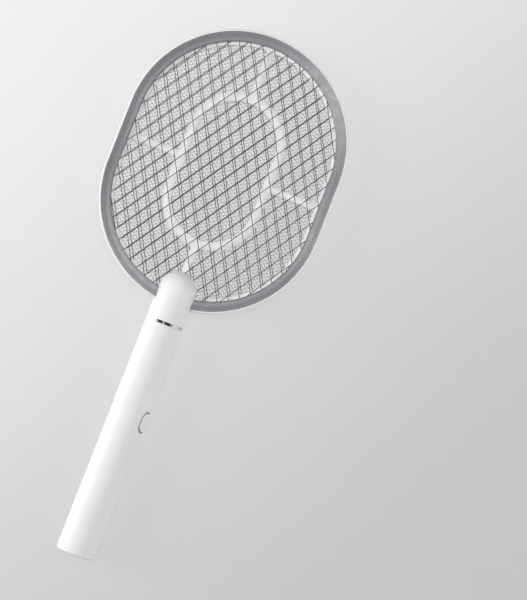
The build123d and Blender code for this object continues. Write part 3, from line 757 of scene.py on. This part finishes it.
def bezel(node, mirrored):
    """A dished ring: nearly flat at its mouth and steeper towards the rim."""
    dish = [(0, 6.25), (0.1, 6.38), (0.3, 6.45), (2.2, 6.6), (4.4, 6.85), (6.6, 7.2), (8.8, 7.65)]
    profile = [(bezel_radius, bezel_foot), (bezel_radius, bezel_shoulder)]
    profile.append((bezel_radius - bezel_edge, bezel_top))
    profile += [(mouth_radius + inward, height) for inward, height in reversed(in_mm(dish))]
    profile.append((mouth_radius, bezel_foot))
    stand_for(head_ring("bezel", profile, mirrored), node)


rim("head_frame_front", False)
rim("head_frame_rear", True)
bezel("bezel_ring_front", False)
bezel("bezel_ring_rear", True)


# ------------------------------------------------------------------ head: nets of round wires
chord_step = mm
chord_reach = 160  # steps each way, enough to cross the head
halvings = 12

guard_angles = (radians(-33.3), radians(28.9))
guard_pitches = (10.46 * mm, 10.93 * mm)
guard_crossing_front = (9.0 * mm, 3.1 * mm)  # where two wires cross, from the head's middle
guard_crossing_rear = (4.0 * mm, -4.6 * mm)
guard_reach = 98.2 * mm
guard_radius = 0.35 * mm
guard_layer = 0.1 * mm  # half the step between the two families
guard_count = 16  # wires to each side of the middle one, enough to fill the head
guard_middle = (guard_low.z + guard_high.z) / 2 - z_axis
guard_border = (97.4, 99.0)
guard_border_half = 0.4

weave_pitch = 3.18 * mm
weave_angle = radians(56)
weave_radius = 0.17 * mm
weave_reach = 99.8 * mm - weave_radius
weave_steps = 3  # places along a wire from one crossing to the next
weave_count = 41  # wires to each side of the middle one, enough to fill the head


def in_head(point, radius):
    beyond = max(0.0, abs(point.y) - straight_half)
    return point.x**2 + beyond**2 < radius**2


def chord(offset, angle, radius):
    """Where a straight wire enters and leaves the head's outline, along the wire."""
    across = Vector((cos(angle), sin(angle))) * offset
    along = Vector((-sin(angle), cos(angle)))
    places = [k * chord_step for k in range(-chord_reach, chord_reach + 1)]
    inside = [s for s in places if in_head(across + along * s, radius)]
    if len(inside) < 4:
        return None
    ends = []
    for near, sign in ((inside[0], -1), (inside[-1], 1)):
        far = near + sign * chord_step
        for _ in range(halvings):
            middle = (near + far) / 2
            if in_head(across + along * middle, radius):
                near = middle
            else:
                far = middle
        ends.append(near)
    return ends


class Wires:
    """Gathers round wires into one mesh."""

    def __init__(self, sides):
        self.sides = sides
        self.points = []
        self.faces = []

    def add(self, line, radius, across):
        """A wire along a line of places; across is a level direction square to it."""
        first = len(self.points)
        sides = self.sides
        up = Vector((0, 0, 1))
        turns = [2 * pi * k / sides for k in range(sides)]
        circle = [across * (radius * cos(t)) + up * (radius * sin(t)) for t in turns]
        for place in line:
            self.points += [place + point for point in circle]
        for i in range(len(line) - 1):
            for k in range(sides):
                a = first + i * sides + k
                b = first + i * sides + (k + 1) % sides
                self.faces.append((a, b, b + sides, a + sides))
        self.faces.append(tuple(range(first + sides - 1, first - 1, -1)))
        last = first + (len(line) - 1) * sides
        self.faces.append(tuple(range(last, last + sides)))

    def object(self, name):
        mesh = bpy.data.meshes.new(name)
        mesh.from_pydata(self.points, [], self.faces)
        mesh.update()
        return linked(name, mesh, sharp=radians(60))


def guard_net(node, height, crossing, outward):
    """Two families of straight wires, welded where they cross, and a flat border."""
    wires = Wires(sides=12)
    for angle, pitch, layer in zip(guard_angles, guard_pitches, (1, -1)):
        across = Vector((cos(angle), sin(angle), 0))
        along = Vector((-sin(angle), cos(angle), 0))
        first = across.x * crossing[0] + across.y * crossing[1]
        lift = layer * outward * guard_layer
        for k in range(-guard_count, guard_count + 1):
            offset = first + k * pitch
            ends = chord(offset, angle, guard_reach)
            if ends is None:
                continue
            middle = across * offset + Vector((0, y_head, z_axis + height + lift))
            wires.add([middle + along * s for s in ends], guard_radius, across)
    net = wires.object("guard")
    border = in_mm(band(*guard_border, -guard_border_half, guard_border_half))
    corners = [(radius, height + rise) for radius, rise in border]
    join(net, head_ring("border", rounded(corners, (0.3, 0.3, 0.3, 0.3))))
    stand_for(net, node)


def woven_family(wires, angle, side):
    """One family of wires that go over and under the other's in turn."""
    across = Vector((cos(angle), sin(angle), 0))
    along = Vector((-sin(angle), cos(angle), 0))
    spacing = weave_pitch / sin(2 * weave_angle)
    shift = spacing * cos(2 * weave_angle) * side
    for i in range(-weave_count, weave_count + 1):
        ends = chord(i * weave_pitch, angle, weave_reach)
        if ends is None:
            continue
        start = i * shift
        first = int((ends[0] - start) / spacing * weave_steps) + 1
        last = int((ends[1] - start) / spacing * weave_steps) - 1
        line = []
        for k in range(first, last + 1):
            lift = side * weave_radius * cos(pi * (k / weave_steps + i))
            place = across * (i * weave_pitch) + along * (start + k * spacing / weave_steps)
            line.append(place + Vector((0, y_head, z_axis + lift)))
        if len(line) > 2:
            wires.add(line, weave_radius, across)


def high_voltage_net():
    wires = Wires(sides=6)
    woven_family(wires, weave_angle, 1)
    woven_family(wires, -weave_angle, -1)
    stand_for(wires.object("weave"), "high_voltage_net")


guard_net("guard_net_front", guard_middle, guard_crossing_front, 1)
guard_net("guard_net_rear", -guard_middle, guard_crossing_rear, -1)
high_voltage_net()

# ------------------------------------------------------------------ head: spacer ribs
rib_low = 0.6 * mm
rib_high = 2.6 * mm
carrier_high = 2.9 * mm
carrier_inner = 94.3 * mm
carrier_outer = 100.3 * mm
hoop_outer = 48.5 * mm
hoop_inner = hoop_outer - 8.6 * mm
spoke_start = hoop_inner + 4 * mm
spoke_end = ledge_radius + mm
spoke_half_width = 3.2 * mm
spoke_root_half_width = 4.75 * mm
spoke_root_length = 16 * mm


def spoke(turn, beyond):
    """A spoke's outline, moved out by beyond; it widens where it meets the carrier."""
    start = spoke_start + beyond
    far = spoke_end + beyond
    edge = [(start, spoke_half_width), (far - spoke_root_length, spoke_half_width)]
    edge.append((far, spoke_root_half_width))
    outline = [(x, -y) for x, y in edge] + edge[::-1]
    c, s = cos(radians(turn)), sin(radians(turn))
    return [(x * c - y * s, x * s + y * c) for x, y in outline]


def rib(node, mirrored):
    """The outer carrier, the oblong hoop and the four spokes between them."""
    ring = head_ring("rib", band(carrier_inner, carrier_outer, rib_low, carrier_high), mirrored)
    hoop = head_ring("hoop", band(hoop_inner, hoop_outer, rib_low, rib_high), mirrored)
    boolean(ring, hoop, "UNION")
    heights = (-rib_high, -rib_low) if mirrored else (rib_low, rib_high)
    for turn in (0, 90, 180, 270):
        outline = spoke(turn, 0 if turn in (0, 180) else straight_half)
        boolean(ring, prism("spoke", outline, *heights, on_head), "UNION")
    bevel(ring, 0.3 * mm)
    stand_for(ring, node)


rib("spacer_rib_front", False)
rib("spacer_rib_rear", True)

# ------------------------------------------------------------------ handle shells
bore_radius = handle_radius - 2.2 * mm
y_dome = y_tip - handle_radius
edge_break = 0.2 * mm
tube_rows = 44
dome_rows = 24
half_turn_steps = 72
cap_turn_steps = 144
shell_bevel = 0.12 * mm

head_clearance = 0.15 * mm
net_room = 5.55 * mm
bezel_room = 6.15 * mm
head_room_inner = 60 * mm

window_start, window_end = -28, 67  # degrees round the handle from its front line
window_middle = (window_start + window_end) / 2
window_spread = 2 * handle_radius * sin(radians(window_end - window_middle))
window_height = lens_high.y - lens_low.y

trigger_angle = 62
trigger_length = 19 * mm
trigger_width = 11.6 * mm
trigger_gap = 0.3 * mm
collar_wall = 1.1 * mm
button_foot = 13 * mm
stem_foot = 9.3 * mm
spring_middle = 8.1 * mm

power_angle = 225
power_slot = (10.6 * mm, 4.6 * mm)
power_slot_floor = 13.3 * mm

screw_ys = [y_head + y_head_foot - place * mm for place in (11, 27)]
screw_ys.append(y_base + 88 * mm)
screw_seat = -12 * mm
screw_post = (3.6 * mm, -17.9 * mm, -5 * mm)  # each a radius and two heights
screw_head_hole = (2.8 * mm, -20 * mm, screw_seat)
screw_shank_hole = (1.25 * mm, -14 * mm, -4 * mm)


def shell_profile():
    """Radius and y along the tube's outside to its tip, and back along its inside."""
    step = (y_dome - y_shell_start) / tube_rows
    outside = [(handle_radius - edge_break, y_shell_start)]
    outside.append((handle_radius, y_shell_start + edge_break))
    outside += [(handle_radius, y_shell_start + k * step) for k in range(1, tube_rows)]
    inside = [(bore_radius, y_shell_start + k * step) for k in range(tube_rows - 1, -1, -1)]
    turns = [radians(90 * k / dome_rows) for k in range(dome_rows + 1)]
    outer_dome = [(handle_radius * cos(t), y_dome + handle_radius * sin(t)) for t in turns]
    inner_dome = [(bore_radius * cos(t), y_dome + bore_radius * sin(t)) for t in reversed(turns)]
    return outside + outer_dome + inner_dome + inside


def head_room():
    """The room that the head's rim, bezels and nets take up in the handle."""
    edge = rim_half + head_clearance
    profile = [
        (head_room_inner, net_room),
        (mouth_radius, net_room),
        (mouth_radius, bezel_room),
        (well_radius, edge),
        (rim_radius + head_clearance, edge),
    ]
    profile += [(radius, -height) for radius, height in reversed(profile)]
    return head_ring("head_room", profile)


def shell(start):
    """Half of the tube, from that angle, with room for the head."""
    tube = lathe("shell", shell_profile(), half_turn_steps, start, start + 180)
    boolean(tube, head_room())
    return tube


def skin_cutter(angle, y, length, width, low, crosswise=False):
    """A slot through the handle's wall, down to low."""
    placed = skin_place(angle, y)
    high = handle_radius + 2 * mm
    return slot_prism("cutter", placed, length, width, low, high, crosswise)


def front_shell():
    """The front half, with its window and the trigger's opening."""
    tube = shell(-90)
    boolean(tube, skin_cutter(window_middle, y_window, window_spread, window_height, 0, True))
    collar_length = trigger_length + 2 * (trigger_gap + collar_wall)
    collar_width = trigger_width + 2 * (trigger_gap + collar_wall)
    boolean(tube, skin_cutter(trigger_angle, y_trigger, collar_length, collar_width, stem_foot))
    bevel(tube, shell_bevel)
    stand_for(tube, "handle_shell_front")


def rear_shell():
    """The rear half, with its screw posts and the slide switch's slot."""
    tube = shell(90)
    for y in screw_ys:
        boolean(tube, round_post(on_handle, *screw_post, y=y), "UNION")
        boolean(tube, round_post(on_handle, *screw_head_hole, y=y))
        boolean(tube, round_post(on_handle, *screw_shank_hole, y=y))
    boolean(tube, skin_cutter(power_angle, y_trigger, *power_slot, power_slot_floor))
    bevel(tube, shell_bevel)
    stand_for(tube, "handle_shell_rear")


front_shell()
rear_shell()

# ------------------------------------------------------------------ handle: cap and screws
cap_thickness = 3 * mm
cap_chamfer = 0.8 * mm
spigot_length = 6 * mm
spigot_outer = 16.7 * mm
spigot_inner = 14.2 * mm
inlet_length = 9.2 * mm
inlet_width = 3.5 * mm
small_bevel = 0.15 * mm
recess_arm = 1.5 * mm
recess_half = 0.32 * mm
recess_depth = 1.1 * mm
screw_head_height = 1.8 * mm


def end_cap():
    """The flat base with its chamfered edge, its spigot and the charging inlet."""
    y_top = y_base + cap_thickness
    y_spigot = y_top + spigot_length
    corners = [
        (0, y_base),
        (handle_radius - cap_chamfer, y_base),
        (handle_radius, y_base + cap_chamfer),
        (handle_radius, y_top - edge_break),
        (handle_radius - edge_break, y_top),
        (spigot_outer, y_top),
        (spigot_outer, y_spigot),
        (spigot_inner, y_spigot),
        (spigot_inner, y_top),
        (0, y_top),
    ]
    radii = (0, 0.3, 0.3, 0, 0, 0, 0.3, 0.3, 0, 0)
    cap = lathe("cap", rounded(corners, radii, steps=3), cap_turn_steps)
    heights = (y_base - mm, y_top + mm)
    boolean(cap, slot_prism("cutter", on_base, inlet_length, inlet_width, *heights))
    bevel(cap, small_bevel)
    stand_for(cap, "end_cap")


def handle_screws():
    """The screws, with a cross recess cut in each head."""
    screws = copy_of("handle_screws")
    low = screw_seat - screw_head_height
    for y in screw_ys:
        for half_x, half_y in ((recess_arm, recess_half), (recess_half, recess_arm)):
            outline = box_outline(half_x, half_y, y=y)
            boolean(screws, prism("recess", outline, low - mm, low + recess_depth, on_handle))
    bevel(screws, small_bevel)
    stand_for(screws, "handle_screws")


end_cap()
handle_screws()

# ------------------------------------------------------------------ handle: window, trigger, knob
lens_gap = 0.05 * mm
stem_radius = 1.9 * mm
stem_steps = 30
spring_flattening = 1.6 * mm  # a little more than the trigger's travel
knob_length = 6 * mm
knob_width = 4 * mm
knob_foot = 13.6 * mm
slider_foot = 11.9 * mm
ridge_heights = (18 * mm, 19.45 * mm)


def indicator_lens():
    half = window_height / 2 - lens_gap
    path = slot_outline(window_spread - 2 * lens_gap, 2 * half, crosswise=True)
    low = skin(-2.1 * mm)
    top = skin(-0.1 * mm)
    edge = skin(-0.2 * mm)
    rings = [(half, low), (0, low), (0, edge), (0.1 * mm, top), (half / 2, top), (half, top)]
    lens = pad("lens", skin_place(window_middle, y_window), path, rings)
    stand_for(lens, "indicator_lens")


def trigger_collar():
    path = slot_outline(trigger_length + 2 * trigger_gap, trigger_width + 2 * trigger_gap)
    profile = rounded(band(0, collar_wall, -3.5 * mm, 0.3 * mm), (0, 0, 0.45, 0.3))
    ring = skin_ring("collar", skin_place(trigger_angle, y_trigger), path, profile)
    stand_for(ring, "trigger_collar")


def trigger_button():
    """The crowned button, its flange inside the handle and the stem below it."""
    placed = skin_place(trigger_angle, y_trigger)
    half = trigger_width / 2
    foot = level(button_foot)
    top = skin(1.2 * mm)
    rings = [(half, foot), (0, foot), (0, skin(0.6 * mm)), (0.12 * mm, skin(0.9 * mm))]
    rings += [(0.4 * mm, skin(1.12 * mm)), (0.9 * mm, top), (half / 2, top), (half, top)]
    button = pad("button", placed, slot_outline(trigger_length, trigger_width), rings)
    flange = (trigger_length + 2 * mm, trigger_width + 2 * mm)
    join(button, slot_prism("flange", placed, *flange, button_foot, button_foot + mm))
    join(button, round_post(placed, stem_radius, stem_foot, button_foot, stem_steps))
    stand_for(button, "trigger_button")


def trigger_spring():
    """The bow spring, whose ends the button pushes in while its middle stays."""
    spring = stand_for(copy_of("trigger_spring"), "trigger_spring")
    placed = skin_place(trigger_angle, y_trigger)
    axis = placed(0, 0, 1) - placed(0, 0, 0)
    keep = 1 - spring_flattening / (button_foot - spring_middle)
    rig.squash(spring, "trigger_press", axis=axis, anchor=placed(0, 0, spring_middle), keep=keep)


def power_knob():
    """The knob with its three grip ridges, and the slider that goes into the switch."""
    placed = skin_place(power_angle, y_knob)
    half = knob_width / 2
    foot = level(knob_foot)
    top = skin(0.2 * mm)
    rings = [(half, foot), (0, foot), (0, skin(0)), (0.2 * mm, top), (half, top)]
    knob = pad("knob", placed, slot_outline(knob_length, knob_width), rings)
    for s in (-1.2, 0, 1.2):
        bar = prism("ridge", in_mm(box_outline(0.3, 1.3, x=s)), *ridge_heights, placed)
        bevel(bar, small_bevel)
        join(knob, bar)
    join(knob, prism("slider", in_mm(box_outline(1, 0.8)), slider_foot, knob_foot, placed))
    stand_for(knob, "power_knob")


indicator_lens()
trigger_collar()
trigger_button()
trigger_spring()
power_knob()

# ------------------------------------------------------------------ floor, light and camera
photo_width, photo_height = 527, 600
view_height = 0.579  # what the photograph's height covers at the swatter, in metres
distance = 1.6
camera_lens = 100
target = Vector((0.0805, 0.0248, 0.019))
tilt = sin(radians(3))
towards_camera = Vector((-tilt, -tilt, 1)).normalized()
level_up = (Vector((0, 1, 0)) - towards_camera * towards_camera.y).normalized()
up = Matrix.Rotation(radians(21.2), 3, towards_camera) @ level_up
right = up.cross(towards_camera)
light_reach = 2.3  # how far the lights are from the target, in metres
floor_reach = 384  # where the floor is darkest and palest, in millimetres from the middle
floor_glow = (0.45, 0.75)


def floor():
    """A pale floor that gives off a little light, more towards the view's upper left."""
    bm = bmesh.new()
    bmesh.ops.create_grid(bm, x_segments=8, y_segments=8, size=6)
    plane = to_object("floor", bm)
    finish = Finish("floor")
    darker, paler = (0.11, 0.11, 0.109), (0.13, 0.13, 0.129)
    finish.colour(finish.ramp(finish.noise(0.002, detail=3), (0.3, darker), (0.7, paler)))
    paler_way = up * 0.8 - right * 0.6
    along = finish.add("ShaderNodeVectorMath", operation="DOT_PRODUCT")
    along.inputs[1].default_value = (paler_way.x, paler_way.y, 0)
    finish.link(finish.place, along.inputs[0])
    place = along.outputs["Value"]
    glow = finish.share(place, -floor_reach, floor_reach, floor_glow, "SMOOTHSTEP")
    finish.link(glow, finish.shader.inputs["Emission Strength"])
    finish.set(Emission_Color=(1, 1, 0.995, 1))
    finish.roughness(finish.noise(0.05), 0.8, 0.9)
    finish.bump(finish.noise(0.8), 0.02)
    plane.data.materials.append(finish.material)
    plane.location.z = -0.5 * mm
    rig.stage(plane)


def area_light(name, lean, side, share, size):
    """A soft round light round the target.

    lean is its angle from the camera's line and side its direction in the view, both in
    degrees; share is what it adds to a white surface that faces it.
    """
    flat = right * cos(radians(side)) + up * sin(radians(side))
    away = (towards_camera * cos(radians(lean)) + flat * sin(radians(lean))) * light_reach
    light = bpy.data.lights.new(name, "AREA")
    light.shape = "DISK"
    light.size = size
    light.energy = share * (pi * light_reach) ** 2
    lamp = bpy.data.objects.new(name, light)
    bpy.context.scene.collection.objects.link(lamp)
    turn = away.to_track_quat("Z", "Y").to_matrix().to_4x4()
    lamp.matrix_world = Matrix.Translation(target + away) @ turn


def studio_air():
    """An even, weak light from all round."""
    world = bpy.data.worlds.new("studio")
    world.use_nodes = True
    background = world.node_tree.nodes["Background"]
    background.inputs["Color"].default_value = (1, 1, 1, 1)
    background.inputs["Strength"].default_value = 0.26
    bpy.context.scene.world = world
    bpy.context.scene.view_settings.view_transform = "Standard"


def photo_camera():
    data = bpy.data.cameras.new("camera")
    data.sensor_fit = "VERTICAL"
    data.sensor_height = camera_lens * view_height / distance
    data.sensor_width = data.sensor_height * photo_width / photo_height
    data.lens = camera_lens
    data.clip_start = 0.05
    data.clip_end = 50
    camera = bpy.data.objects.new("camera", data)
    bpy.context.scene.collection.objects.link(camera)
    turn = Matrix((right, up, towards_camera)).transposed().to_4x4()
    camera.matrix_world = Matrix.Translation(target + towards_camera * distance) @ turn
    bpy.context.scene.camera = camera


floor()
area_light("key", lean=60, side=165, share=0.73, size=1.6)
area_light("fill", lean=70, side=-15, share=0.37, size=1.6)
area_light("sheen_near", lean=9.5, side=115, share=0.12, size=0.35)
area_light("sheen_far", lean=18, side=55, share=0.1, size=0.35)
studio_air()
photo_camera()

visual_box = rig.bounds()
with open("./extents.json", "w") as file:
    boxes = {"cad": cad_box, "visual": visual_box}
    json.dump({name: [list(low), list(high)] for name, (low, high) in boxes.items()}, file)
